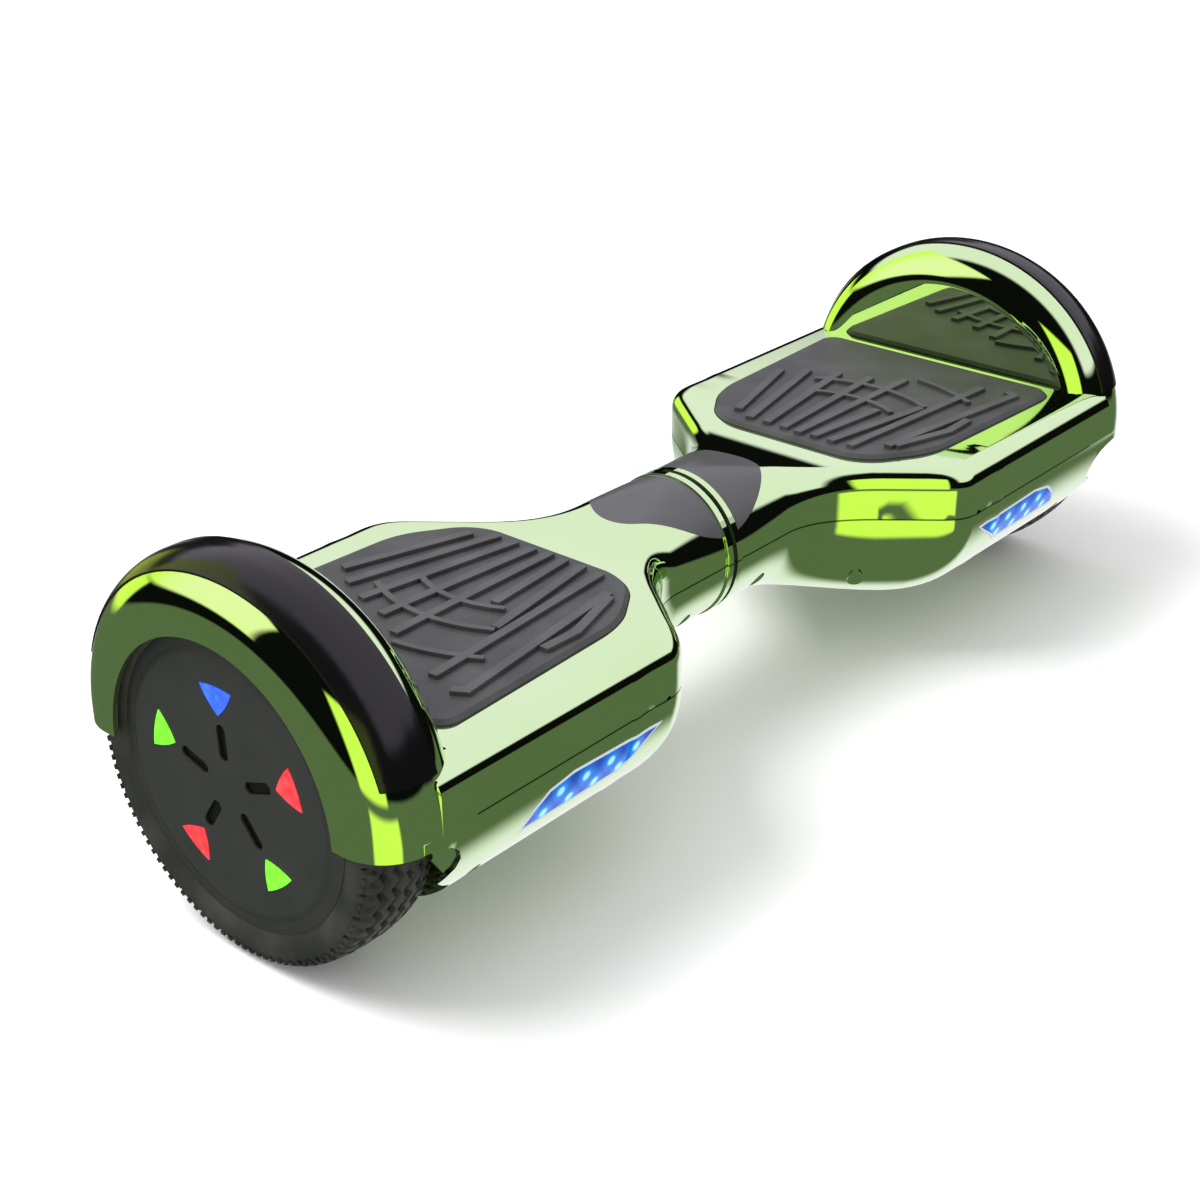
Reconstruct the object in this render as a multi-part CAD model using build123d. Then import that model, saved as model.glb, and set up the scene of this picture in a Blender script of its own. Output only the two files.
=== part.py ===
from build123d import *
import os
from math import atan2, cos, degrees, radians, sin, sqrt

# Two-wheeled self balancing board: two tilting halves joined by a pivot tube, a hub motor wheel at each end.
# Frame: X runs along the axle, left half at -X; the lamps face -Y; +Z is up. The origin is on the floor,
# under the middle of the joint between the halves. Each piece is modelled for the right half, at +X, and
# mirrored for the left half where both halves have it. Millimetres.

# Driving dimensions: the wheel, the joint and the shells
AXLE_Z = 82.5            # wheel radius, so also the height of the axle
SEAM_Z = 88.0            # joint line between top and bottom shell, and the height of the pivot axis
JOINT_GAP = 1.5          # from the joint plane to each shell's rim
NECK_R = 36.4            # radius of the round neck at the joint
BODY_W = 96.5            # half depth of the body at the seam
DECK_Z = 114.0           # height of the standing deck
BELLY_Z = 30.0           # ground clearance
WALL = 2.5               # shell wall
WALL_X = 243.5           # fender wall that faces the rider's shoe
TAB_X = 272.0            # end of the bottom shell's tabs beside the tyre
LIP_X = 292.0            # outer face of the fender, half the overall length
SLANT_X = 66.0           # where the waist begins to widen
SLANT_SLOPE = 1.25       # how fast it widens

# Fender arch: an ellipse on straight legs, flush with the body's side
ARCH_Z = 88.0
ARCH_H = 91.0
FENDER_FOOT_Z = 83.0
INNER_SHOULDER = 20.0
OUTER_SHOULDER = 24.0
WHEEL_OPENING_R = 66.5
STRIP_X = (260.0, 284.0)
STRIP_T = 0.7
STRIP_FOOT_Z = 113.0

# Foot pad
PAD_X = (90.0, 238.0)
PAD_W = 74.5
PAD_SKIN = 2.5           # rubber left over the hollow underside
PAD_BOTTOM = 110.8
PAD_TOP = 116.4
RIB_TOP = 118.4
PAD_GAP = 0.5
PAD_TRAVEL = 1.5
PAN_FLOOR = PAD_BOTTOM - PAD_TRAVEL - 0.3
BOARD_TOP = 86.1         # top of the sensor board under the pad

# Cast frame and battery
FRAME_FOOT = 78.0
FRAME_TOP = 95.0
BATTERY_FOOT = 39.0
CONTROLLER_Z = 44.0

# Posts of the pad and its ribs
POST_AT = [(150.0, -30.0), (150.0, 30.0)]
RIB_WIDTH = 4.6
# Ribs, fanned from the neck: where each starts, how it slopes away from the middle, where it ends
RIBS = [(103, 40, 0.285, 167), (97, 28, 0.228, 176), (97, 17, 0.15, 183), (97, 6, 0.066, 188),
        (96, -3.5, -0.013, 197), (97, -13, -0.1, 149), (97, -23.5, -0.16, 166), (98, -35, -0.077, 213),
        (110, -50, -0.13, 215), (113, -53, -0.31, 148), (147, -63.5, 0.03, 167), (213, -63.6, 1.64, 216.6)]
# Arcs across the ribs: radius and end angles about one point
ARC_X = 105.8
ARCS = [(51.5, -30, 30), (71.5, -30, 30), (97.0, -31, -6)]

# Headlamp
LAMP_TOP = 79.5
LAMP_FOOT = 64.0
LAMP_FRAME = 1.6

# Wheel, all across +X
TYRE_X = (248.5, 288.0)
RIM_R = 66.0
HUB_FACE_X = 287.0
WINDOWS = 5
WINDOW_TURN = 70.0
WINDOW_R = (32.5, 45.6)
SLOT_MID, SLOT_LONG, SLOT_WIDE = 20.25, 16.5, 5.4
AXLE_R = 8.0
MAGNETS = 20
TREAD_BLOCKS = 60
TEETH = 18

# Pivot
TUBE_R = 14.0
TUBE_BORE = 11.0
BUSH_R = 16.0
TWIST_LIMIT = 12.0
RUNNING_GAP = 0.04
PIN_R = 2.5
PIN_X = 33.0

# Screws through the bottom shell: x, y at the front and the seat of the head; the rear has the same
SCREW_AT = [(30.0, 27.6, 72.5), (88.0, 49.0, 62.0), (165.0, 74.0, 62.0), (233.0, 81.0, 62.0)]
POCKET_R = 4.2

os.makedirs("parts", exist_ok=True)


def smooth_max(a, b, blend):
    """The larger of a and b, with the corner between them rounded over the given blend."""
    near = max(blend - abs(a - b), 0.0) / blend
    return max(a, b) + near * near * blend / 4


def smooth_min(a, b, blend):
    return -smooth_max(-a, -b, blend)


def ease(x, start, end):
    """0 before start, 1 after end, and a smooth step between."""
    t = min(max((x - start) / (end - start), 0.0), 1.0)
    return t * t * (3 - 2 * t)


def half_width(x):
    rise = NECK_R + SLANT_SLOPE * (x - SLANT_X)
    return smooth_min(BODY_W, smooth_max(NECK_R, rise, 26.0), 10.0)


def top_height(x):
    neck_top = SEAM_Z + NECK_R
    return neck_top + (DECK_Z - neck_top) * ease(x, 8.0, 78.0)


def belly_height(x):
    neck_foot = SEAM_Z - NECK_R
    return neck_foot + (BELLY_Z - neck_foot) * ease(x, 20.0, 135.0)


def belly_flat(x):
    """Half width of the flat underside."""
    return 0.6 + 34.4 * ease(x, 30.0, 135.0)


def edge_radius(x):
    """Radius of the rounded edge of the deck, as wide as the neck itself at the joint."""
    return NECK_R - 0.6 + (11.0 - NECK_R + 0.6) * ease(x, 4.0, 82.0)


def rounded(x, start, end, corner_at):
    """A quarter ellipse from start to end, both (y, z), curving towards the corner."""
    k = 0.5523
    near = (start[0] + k * (corner_at[0] - start[0]), start[1] + k * (corner_at[1] - start[1]))
    far = (end[0] + k * (corner_at[0] - end[0]), end[1] + k * (corner_at[1] - end[1]))
    return Edge.make_bezier(*[(x, y, z) for y, z in (start, near, far, end)])


def upper_section(x, inset):
    """Cross-section of the body above the seam, inset by a wall's thickness."""
    w, top = half_width(x) - inset, top_height(x) - inset
    r = max(edge_radius(x) - inset, 1.0)
    foot = SEAM_Z - 4 * abs(inset)
    return Face(Wire([
        Edge.make_line((x, w, foot), (x, -w, foot)),
        Edge.make_line((x, -w, foot), (x, -w, top - r)),
        rounded(x, (-w, top - r), (-w + r, top), (-w, top)),
        Edge.make_line((x, -w + r, top), (x, w - r, top)),
        rounded(x, (w - r, top), (w, top - r), (w, top)),
        Edge.make_line((x, w, top - r), (x, w, foot)),
    ]))


def lower_section(x, inset):
    """Cross-section of the body below the seam, inset by a wall's thickness."""
    w, belly, flat = half_width(x) - inset, belly_height(x) + inset, belly_flat(x)
    head = SEAM_Z + 4 * abs(inset)
    return Face(Wire([
        Edge.make_line((x, -w, head), (x, w, head)),
        Edge.make_line((x, w, head), (x, w, SEAM_Z - 0.5)),
        rounded(x, (w, SEAM_Z - 0.5), (flat, belly), (w, belly)),
        Edge.make_line((x, flat, belly), (x, -flat, belly)),
        rounded(x, (-flat, belly), (-w, SEAM_Z - 0.5), (-w, belly)),
        Edge.make_line((x, -w, SEAM_Z - 0.5), (x, -w, head)),
    ]))


SHAPED_END = 150.0       # beyond this the cross-section stays the same
STATIONS = [JOINT_GAP + (SHAPED_END - JOINT_GAP) * i / 16 for i in range(17)]


def hull(section, inset):
    """The body from the joint to the end of the tabs, above or below the seam, as one closed solid."""
    shaped = loft([section(x, inset) for x in STATIONS])
    plain = extrude(section(SHAPED_END, inset), TAB_X - SHAPED_END, dir=(1, 0, 0))
    return Solid((shaped + plain).solids()[0].wrapped)


def box(x, y, z):
    """A box from its limits along each axis."""
    size = (x[1] - x[0], y[1] - y[0], z[1] - z[0])
    middle = ((x[0] + x[1]) / 2, (y[0] + y[1]) / 2, (z[0] + z[1]) / 2)
    return Pos(*middle) * Box(*size)


def rod(x, r, y=0.0, z=AXLE_Z):
    """A cylinder along X, between two stations."""
    plane = Plane(origin=(x[0], y, z), z_dir=(1, 0, 0))
    return Solid.make_cylinder(r, x[1] - x[0], plane)


def ring(x, outer, inner, y=0.0, z=AXLE_Z):
    return rod(x, outer, y, z) - rod(x, inner, y, z)


def post(x, y, z, r):
    """A cylinder along Z, between two heights."""
    return Solid.make_cylinder(r, z[1] - z[0], Plane(origin=(x, y, z[0])))


def turned(profile, z=AXLE_Z):
    """Turns an outline of (x, radius) points about the axle line."""
    points = [(x, 0.0, z + r) for x, r in profile]
    face = Face(Wire.make_polygon(points, close=True))
    return revolve(face, Axis((0, 0, z), (1, 0, 0)), 360)


def prism_y(points, y, radii=None):
    """An outline of (x, z) points pushed through between two stations of Y."""
    corners = [(x, y[0], z) for x, z in points]
    wire = Wire.make_polygon(corners, close=True) if radii is None else FilletPolyline(
        *corners, radius=radii, close=True)
    return extrude(Face(Wire(wire.edges())), y[1] - y[0], dir=(0, 1, 0))


def prism_z(points, z, radii=None):
    """An outline of (x, y) points pushed up between two heights."""
    corners = [(x, y, z[0]) for x, y in points]
    wire = Wire.make_polygon(corners, close=True) if radii is None else FilletPolyline(
        *corners, radius=radii, close=True)
    return extrude(Face(Wire(wire.edges())), z[1] - z[0], dir=(0, 0, 1))


def front_and_back(shape):
    return [shape, mirror(shape, Plane.XZ)]


HIGH = 400.0
UPPER = hull(upper_section, 0.0)
LOWER = hull(lower_section, 0.0)
UPPER_SKIN = UPPER - hull(upper_section, WALL)
LOWER_SKIN = LOWER - hull(lower_section, WALL)
ABOVE_SEAM = box((-10, 400), (-200, 200), (SEAM_Z, HIGH))
BELOW_SEAM = box((-10, 400), (-200, 200), (-50, SEAM_Z))


# Fender
def arch(grow, x, fillet_inner, fillet_outer):
    """The solid under the fender's arch between two stations, grown by a thickness, shoulders rounded."""
    w, h = BODY_W + grow, ARCH_H + grow
    foot = SEAM_Z - 20.0
    plane = Plane(origin=(x[0], 0, ARCH_Z), x_dir=(0, 1, 0), z_dir=(1, 0, 0))
    over = Edge.make_ellipse(w, h, plane, 0, 180)
    legs = Polyline((x[0], -w, ARCH_Z), (x[0], -w, foot), (x[0], w, foot), (x[0], w, ARCH_Z))
    solid = extrude(Face(Wire([over, *legs.edges()])), x[1] - x[0], dir=(1, 0, 0))
    for at, r in ((x[0], fillet_inner), (x[1], fillet_outer)):
        side = [e for e in solid.edges() if abs(e.center().X - at) < 0.01]
        crown = [e for e in side if e.center().Z > foot + 1]
        if r:
            solid = fillet(crown, r)
    return solid


def fender():
    outside = arch(0.0, (WALL_X, LIP_X), INNER_SHOULDER, OUTER_SHOULDER)
    inside = arch(-WALL, (WALL_X + WALL, LIP_X - WALL), INNER_SHOULDER - WALL, OUTER_SHOULDER - WALL)
    body = outside - inside - rod((LIP_X - 6, LIP_X + 6), WHEEL_OPENING_R)
    foot_cut = box((TAB_X, 400), (-200, 200), (-50, FENDER_FOOT_Z))
    seam_cut = box((0, TAB_X), (-200, 200), (-50, SEAM_Z))
    return body - foot_cut - seam_cut - rod((WALL_X - 5, WALL_X + 5), 14.0)


def fender_strip():
    grown = arch(STRIP_T, (WALL_X - STRIP_T, LIP_X + STRIP_T), INNER_SHOULDER + STRIP_T,
                 OUTER_SHOULDER + STRIP_T)
    skin = arch(0.0, (WALL_X, LIP_X), INNER_SHOULDER, OUTER_SHOULDER)
    return (grown - skin) & box(STRIP_X, (-200, 200), (STRIP_FOOT_Z, HIGH))


# Foot pad
def pad_outline(grow, z):
    x0, x1, w = PAD_X[0] - grow, PAD_X[1] + grow, PAD_W + grow
    half = [(x1, w), (124 - 0.32 * grow, PAD_W - 5 + 0.985 * grow), (x0, 47 + 0.535 * grow)]
    radii = [10 + grow, 45 + grow, 30 + grow]
    points = [(x, -y) for x, y in half] + half[::-1]
    return prism_z(points, z, radii + radii[::-1])


def rib(start, end):
    """One raised rib of the foot pad, between two points on the pad."""
    dx, dy = end[0] - start[0], end[1] - start[1]
    length = sqrt(dx * dx + dy * dy)
    middle = ((start[0] + end[0]) / 2, (start[1] + end[1]) / 2, (PAD_TOP + RIB_TOP) / 2 - 0.25)
    bar = Box(length, RIB_WIDTH, RIB_TOP - PAD_TOP + 0.5)
    return Pos(*middle) * Rot(0, 0, degrees(atan2(dy, dx))) * bar


def rib_arc(r, start, end):
    """A raised arc across the ribs, between two angles about the point the arcs share."""
    span = [radians(start + (end - start) * i / 8) for i in range(9)]
    outer = [(ARC_X + (r + 1.5) * cos(a), (r + 1.5) * sin(a)) for a in span]
    inner = [(ARC_X + (r - 1.5) * cos(a), (r - 1.5) * sin(a)) for a in reversed(span)]
    return prism_z(outer + inner, (PAD_TOP - 0.5, RIB_TOP))


def foot_pad():
    """Rubber mat with a sloped edge and a hollow underside, fanned ribs on top and two posts below."""
    mat = pad_outline(0.0, (PAD_BOTTOM, PAD_TOP))
    mat = chamfer(mat.edges().group_by(Axis.Z)[-1], 1.8)
    mat -= pad_outline(-4.0, (PAD_BOTTOM - 1, PAD_TOP - PAD_SKIN))
    for near_x, near_y, slope, far_x in RIBS:
        mat += rib((near_x, near_y), (far_x, near_y + slope * (far_x - near_x)))
    for r, start, end in ARCS:
        mat += rib_arc(r, start, end)
    for x, y in POST_AT:
        mat += post(x, y, (PAD_BOTTOM, PAD_TOP - 1), 9.0) + post(x, y, (97.5, PAD_BOTTOM + 1), 5.0)
    return mat


# Shells
def screw_places():
    return [(x, side * y, seat) for x, y, seat in SCREW_AT for side in (-1, 1)]


def neck_rim():
    """Raised bead round the neck at the joint."""
    return ring((JOINT_GAP, JOINT_GAP + 3.6), NECK_R + 0.9, NECK_R - WALL, z=SEAM_Z)


def trim_outline(grow):
    """Tongue-shaped outline of the neck plate, seen from above."""
    plane = Plane(origin=(JOINT_GAP + 3.6 - grow, 0, SEAM_Z + 4))
    tongue = Edge.make_ellipse(46 + grow, 33.5 + grow, plane, -90, 90)
    back = Edge.make_line(tongue.end_point(), tongue.start_point())
    return extrude(Face(Wire([tongue, back])), 60, dir=(0, 0, 1))


def top_shell():
    shell = (UPPER_SKIN & box((0, WALL_X + WALL), (-200, 200), (0, HIGH))) + fender()
    pan = pad_outline(3.0, (PAN_FLOOR - WALL, DECK_Z - 0.5))
    shell += pan & box((0, WALL_X + 0.5), (-200, 200), (0, HIGH))
    for side in front_and_back(box((WALL_X - 1, WALL_X + INNER_SHOULDER - 1.5), (84, 200), (SEAM_Z, HIGH))):
        shell += UPPER_SKIN & side
    for x, y, _ in screw_places():
        shell += post(x, y, (SEAM_Z, DECK_Z + 20), 5.0) & UPPER
        shell -= post(x, y, (SEAM_Z - 1, SEAM_Z + 14), 1.5)
    shell -= pad_outline(PAD_GAP, (PAN_FLOOR, DECK_Z + 5))
    for x, y in POST_AT:
        shell -= post(x, y, (90, DECK_Z), 6.5)
    shell += neck_rim() & ABOVE_SEAM
    return shell - trim_pocket()


def trim_pocket():
    """The space under the neck plate's surface that the plate fills."""
    return trim_outline(0.0) & (hull(upper_section, -3.0) - hull(upper_section, 1.4))


def neck_trim():
    return trim_outline(-0.15) & (UPPER - hull(upper_section, 1.4))


def tab_outline():
    """Side view of the bottom shell's end beside the tyre: a tab on the seam over a hand notch."""
    return [(WALL_X - 4, SEAM_Z), (TAB_X, SEAM_Z), (TAB_X, 83.5), (264, 82), (257, 79.5), (252.5, 75.5),
            (250.5, 70.5), (252, 65.5), (256.5, 62.5), (260, 61.5), (255, 57), (WALL_X - 4, 46)]


def lamp_outline(grow):
    """Leaf-shaped headlamp in front view: slanted end towards the neck, curved end towards the wheel."""
    g = grow
    return [(132 - 2.2 * g, 77.5 + g), (186, LAMP_TOP + g), (200 + 0.5 * g, 77 + g),
            (208 + g, 71.5 + 0.5 * g), (213 + 1.6 * g, LAMP_FOOT - g), (154 - 0.8 * g, LAMP_FOOT - g)]


def lamp_prism(grow):
    return prism_y(lamp_outline(grow), (-110, -70))


PORT_X, BUTTON_X, SIDE_Z = 138.0, 196.0, 66.0


def side_frame():
    """Point and outward direction of the rear side at the height of the port and the button."""
    ry, rz = BODY_W - 35.0, SEAM_Z - BELLY_Z
    s = (SEAM_Z - SIDE_Z) / rz
    c = sqrt(1 - s * s)
    y = 35.0 + ry * c
    length = sqrt((c / ry) ** 2 + (s / rz) ** 2)
    return y, c / ry / length, -s / rz / length


SIDE_Y, OUT_Y, OUT_Z = side_frame()


def outward(x, near, far, r):
    """A cylinder square to the rear side, between two distances from its surface."""
    origin = (x, SIDE_Y + near * OUT_Y, SIDE_Z + near * OUT_Z)
    return Solid.make_cylinder(r, far - near, Plane(origin=origin, z_dir=(0, OUT_Y, OUT_Z)))


def bottom_shell(is_right):
    main = LOWER_SKIN & box((0, WALL_X), (-200, 200), (0, HIGH))
    end = LOWER & box((WALL_X - 0.2, WALL_X + WALL), (-200, 200), (0, HIGH))
    shell = main + end
    tabs = LOWER_SKIN & box((WALL_X, TAB_X), (-200, 200), (0, HIGH))
    for side in front_and_back(prism_y(tab_outline(), (-110, -70))):
        shell += tabs & side
    for x, y, seat in screw_places():
        shell += post(x, y, (BELLY_Z, SEAM_Z), 6.4) & LOWER
        shell -= post(x, y, (0, seat), POCKET_R)
        shell -= post(x, y, (0, SEAM_Z + 1), 1.8)
    rest = CONTROLLER_Z if is_right else BATTERY_FOOT + 0.2
    for x in (104, 188):
        shell += box((x - 1.5, x + 1.5), (-30, 30), (BELLY_Z + 1, rest)) & LOWER
    shell += neck_rim() & BELOW_SEAM
    shell -= rod((WALL_X - 5, WALL_X + 5), 14.0)
    shell -= lamp_prism(LAMP_FRAME)
    if is_right:
        shell -= outward(PORT_X, -8, 4, 11.0)
        shell -= outward(BUTTON_X, -8, 4, 8.0)
    return shell


def shell_screws():
    screws = []
    for x, y, seat in screw_places():
        head = post(x, y, (seat - 2.4, seat), 3.4)
        drive = Pos(x, y, seat - 2.4) * (Box(4, 1, 2) + Box(1, 4, 2))
        screws.append(head + post(x, y, (seat - 0.5, SEAM_Z + 12), 1.45) - drive)
    return Compound(screws)


# Headlamp
def lamp_lens():
    return LOWER_SKIN & lamp_prism(0.0)


def lamp_frame():
    return (LOWER_SKIN & lamp_prism(LAMP_FRAME - 0.1)) - lamp_prism(0.0)


def lamp_board():
    """Strip board on a slope behind the lens, with two rows of four lamps."""
    board = box((136, 208), (-83.6, -82), (60, 79))
    for row, (z, start) in enumerate(((73.5, 145.5), (66.5, 154.0))):
        for i in range(4):
            x = start + 15.8 * i
            board += box((x - 1.8, x + 1.8), (-85.2, -83.5), (z - 1.8, z + 1.8))
    return board + box((182, 196), (-82.5, -76), (61, 66))


# Chassis, axle clamp and boards
def chassis(bore_r):
    """Cast frame: a skirted tray with rails under the deck, the pivot boss and the saddle for the axle."""
    edge = [(58, -20), (112, -54), (238, -54), (238, 54), (112, 54), (58, 20)]
    hollow = [(62, -16), (114, -50), (234, -50), (234, 50), (114, 50), (62, 16)]
    frame = prism_z(edge, (FRAME_FOOT, FRAME_TOP)) - prism_z(hollow, (FRAME_FOOT - 8, FRAME_TOP - 3))
    frame += box((116, 120), (-52, 52), (84, FRAME_TOP - 2))
    for rail in front_and_back(box((114, 236), (42, 46), (FRAME_TOP - 1, PAN_FLOOR - WALL))):
        frame += rail
    for x, y in ((141, 14), (159, 14), (141, -14), (159, -14)):
        frame += post(x, y, (BOARD_TOP, FRAME_TOP - 2), 3.0)
    frame += rod((5, 62), 21.0, z=SEAM_Z) + box((40, 80), (-17.5, 17.5), (91, FRAME_TOP + 2))
    frame += box((202, 238), (-24, 24), (AXLE_Z, FRAME_TOP - 2))
    frame -= rod((0, 90), bore_r, z=SEAM_Z)
    frame -= rod((62.2, 67), 20.0, z=SEAM_Z)
    frame -= box((88, 107), (-10, 10), (FRAME_FOOT, FRAME_TOP + 1))
    frame -= box((200, 240), (-24.5, 24.5), (FRAME_FOOT - 2, AXLE_Z))
    frame -= rod((190, 245), AXLE_R)
    for x, y in POST_AT:
        frame -= post(x, y, (80, 110), 11.0)
    for x, y in CLAMP_BOLTS:
        frame -= post(x, y, (70, 92.5), 3.05)
    return frame


def stop_slot():
    """Slot in the right frame that lets the stop pin swing to each end of the twist."""
    half_angle = TWIST_LIMIT + degrees(PIN_R / 16.0) + 1.0
    return wedge(half_angle, 24.0, (PIN_X - PIN_R - 0.3, PIN_X + PIN_R + 0.3))


def wedge(half_angle, r, x):
    """A sector of a disc below the pivot axis, between two stations."""
    a = radians(half_angle)
    foot = SEAM_Z - r * cos(a)
    points = [(x[0], 0, SEAM_Z), (x[0], -r * sin(a), foot), (x[0], r * sin(a), foot)]
    return extrude(Face(Wire.make_polygon(points, close=True)), x[1] - x[0], dir=(1, 0, 0))


CLAMP_BOLTS = [(x, y) for x in (208.0, 232.0) for y in (-17.0, 17.0)]


def axle_clamp():
    block = box((202, 238), (-24, 24), (66, AXLE_Z - 0.2)) - rod((190, 245), AXLE_R)
    for x, y in CLAMP_BOLTS:
        block -= post(x, y, (60, 90), 3.3)
    return block


def clamp_bolts():
    return Compound([post(x, y, (61, 66), 5.0) + post(x, y, (65, 92), 3.0) for x, y in CLAMP_BOLTS])


def sensor_board():
    """Board under the tray, with a light gate round the foot of each post of the pad."""
    board = box((136, 164), (-44, 44), (BOARD_TOP - 1.6, BOARD_TOP))
    for x, y in POST_AT:
        board += box((x - 9, x - 6.5), (y - 4, y + 4), (86, 95.5))
        board += box((x + 6.5, x + 9), (y - 4, y + 4), (86, 95.5))
    return board + box((144, 156), (-8, 8), (86, 88.5))


# Hub motor wheel
def tread_flats():
    """Everything inside the flat tops of the tread's blocks, one of them flat on the floor."""
    corner_r = AXLE_Z / cos(radians(180 / TREAD_BLOCKS))
    turns = [radians(360 / TREAD_BLOCKS * (i + 0.5) - 90) for i in range(TREAD_BLOCKS)]
    corners = [(TYRE_X[0] - 1, corner_r * cos(a), AXLE_Z + corner_r * sin(a)) for a in turns]
    return extrude(Face(Wire.make_polygon(corners, close=True)), TYRE_X[1] - TYRE_X[0] + 2, dir=(1, 0, 0))


def tyre():
    """Solid rubber tyre with three grooves round a tread of flat-topped blocks."""
    a, b = TYRE_X
    middle = (a + b) / 2
    crown = AXLE_Z + 0.12
    profile = [(a + 3, RIM_R), (a + 0.8, 69), (a, 74), (a + 1.2, 78.2), (a + 4.2, 80.6), (a + 7.5, crown)]
    for x in (middle - 8.5, middle, middle + 8.5):
        profile += [(x - 1.6, crown), (x - 1.0, crown - 2.2), (x + 1.0, crown - 2.2), (x + 1.6, crown)]
    profile += [(b - 7.5, crown), (b - 4.2, 80.6), (b - 1.2, 78.2), (b, 74), (b - 0.8, 69), (b - 3, RIM_R)]
    return turned(profile) & tread_flats()


def rotor():
    """Wheel casting: the rim that carries the tyre, closed on the outside, with the outer bearing's seat."""
    return turned([(250.5, 59), (250.5, RIM_R), (284.5, RIM_R), (284.5, 16), (270, 16), (270, 20),
                   (280.5, 20), (280.5, 58), (255, 58), (255, 59)])


def inner_cover():
    return turned([(248.5, 17), (248.5, 59), (250.5, 59), (250.5, 22), (256, 22), (256, 17)])


def bearings():
    inner = turned([(248.5, AXLE_R + RUNNING_GAP), (248.5, 17), (256, 17), (256, AXLE_R + RUNNING_GAP)])
    outer = turned([(270, AXLE_R + RUNNING_GAP), (270, 16), (278, 16), (278, AXLE_R + RUNNING_GAP)])
    return Compound([inner, outer])


def magnets():
    bars = []
    for i in range(MAGNETS):
        turn = Rot(360 / MAGNETS * i, 0, 0)
        bars.append(Pos(0, 0, AXLE_Z) * turn * Pos(266, 0, 56.0) * Box(18, 14, 3.0))
    return Compound(bars)


def window_face(r_in, r_out, grow):
    """Shield-shaped window of the hub cover in its own plane, point towards the axle."""
    spread = radians(12) + grow / r_out
    left = (-(r_out + grow) * sin(spread), (r_out + grow) * cos(spread))
    right = (-left[0], left[1])
    tip = (0.0, r_in - grow)
    bulge = 0.8
    mid_l = ((left[0] + tip[0]) / 2 - bulge * 0.9, (left[1] + tip[1]) / 2 - bulge * 0.5)
    mid_r = (-mid_l[0], mid_l[1])
    edges = [ThreePointArc(left, (0, r_out + grow), right), ThreePointArc(right, mid_r, tip),
             ThreePointArc(tip, mid_l, left)]
    return Face(Wire([e for edge in edges for e in edge.edges()]))


def on_hub(face, turn, x, depth):
    """Stands a flat outline on the hub's face at a turn about the axle and pushes it inwards."""
    plane = Plane(origin=(x, 0, AXLE_Z), x_dir=(0, 1, 0), z_dir=(1, 0, 0))
    placed = plane * Rot(0, 0, turn) * face
    return extrude(placed, depth, dir=(-1, 0, 0))


def window_turns():
    return [WINDOW_TURN - 360 / WINDOWS * i for i in range(WINDOWS)]


def hub_windows():
    """Coloured windows, one solid each, in the order of the turns."""
    pane = window_face(*WINDOW_R, -0.1)
    return Compound([on_hub(pane, a, HUB_FACE_X + 0.3, 2.2) for a in window_turns()])


def hub_cover():
    """Moulded cover with a raised face, five windows and five radial slots."""
    x = HUB_FACE_X
    disc = turned([(284.5, 0), (284.5, RIM_R), (285.2, RIM_R), (285.8, 60.5), (x, 57.5), (x, 0)])
    slot = Pos(0, SLOT_MID) * SlotOverall(SLOT_LONG, SLOT_WIDE, rotation=90)
    for a in window_turns():
        disc -= on_hub(window_face(*WINDOW_R, 0.0), a, x + 1, 2.9)
        disc -= on_hub(slot.face(), a, x + 1, 2.4)
    return disc


def axle():
    return rod((204, 278), AXLE_R) - rod((200, 260), 3.5)


def stator_core():
    core = ring((256.5, 268), 32, AXLE_R)
    for i in range(TEETH):
        turn = Pos(0, 0, AXLE_Z) * Rot(360 / TEETH * i, 0, 0)
        core += turn * Pos(262.25, 0, 40) * Box(11.5, 4.0, 20)
        core += turn * Pos(262.25, 0, 51) * Box(11.5, 12.0, 3)
    return core


def wound_stator():
    """Iron core on the axle with a coil round each tooth."""
    wound = [stator_core()]
    for i in range(TEETH):
        turn = Pos(0, 0, AXLE_Z) * Rot(360 / TEETH * i, 0, 0)
        solid = Pos(262.25, 0, 41) * (Box(15.5, 8.0, 13) - Box(11.7, 4.2, 14))
        wound.append(turn * solid)
    return Compound(wound)


# Joint between the halves
def pivot_tube():
    tube = ring((-82, 68), TUBE_R, TUBE_BORE, z=SEAM_Z)
    tube -= ring((63.0, 64.6), TUBE_R + 1, 12.8, z=SEAM_Z)
    return tube - Pos(PIN_X, 0, SEAM_Z - 12) * Cylinder(PIN_R, 8)


def stop_pin():
    """Pin through the tube's wall that stops the twist."""
    return Pos(PIN_X, 0, SEAM_Z - 15.4) * Cylinder(PIN_R, 9.2)


def pivot_bushes():
    return Compound([ring((5, 22), BUSH_R, TUBE_R + RUNNING_GAP, z=SEAM_Z),
                     ring((45, 62), BUSH_R, TUBE_R + RUNNING_GAP, z=SEAM_Z)])


def retaining_ring():
    clip = ring((63.1, 64.5), 18.5, 12.9, z=SEAM_Z)
    return clip - box((60, 70), (-8, 8), (SEAM_Z, SEAM_Z + 30))


def joint_seal():
    return ring((-JOINT_GAP, JOINT_GAP - 0.4), NECK_R - 1.4, NECK_R - 6.0, z=SEAM_Z)


# Electrics that only one half has
def battery_pack():
    """Ten large cells in two layers between end plates."""
    near, far = front_and_back(box((-194, -96), (31, 33), (BATTERY_FOOT + 3, BATTERY_FOOT + 36)))
    pack = near + far
    for i in range(5):
        for layer in (0, 1):
            x, z = -185.5 + 20.2 * i, BATTERY_FOOT + 9.5 + 20 * layer
            pack += Pos(x, 0, z) * Rot(90, 0, 0) * Cylinder(9.2, 65)
    return pack


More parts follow.
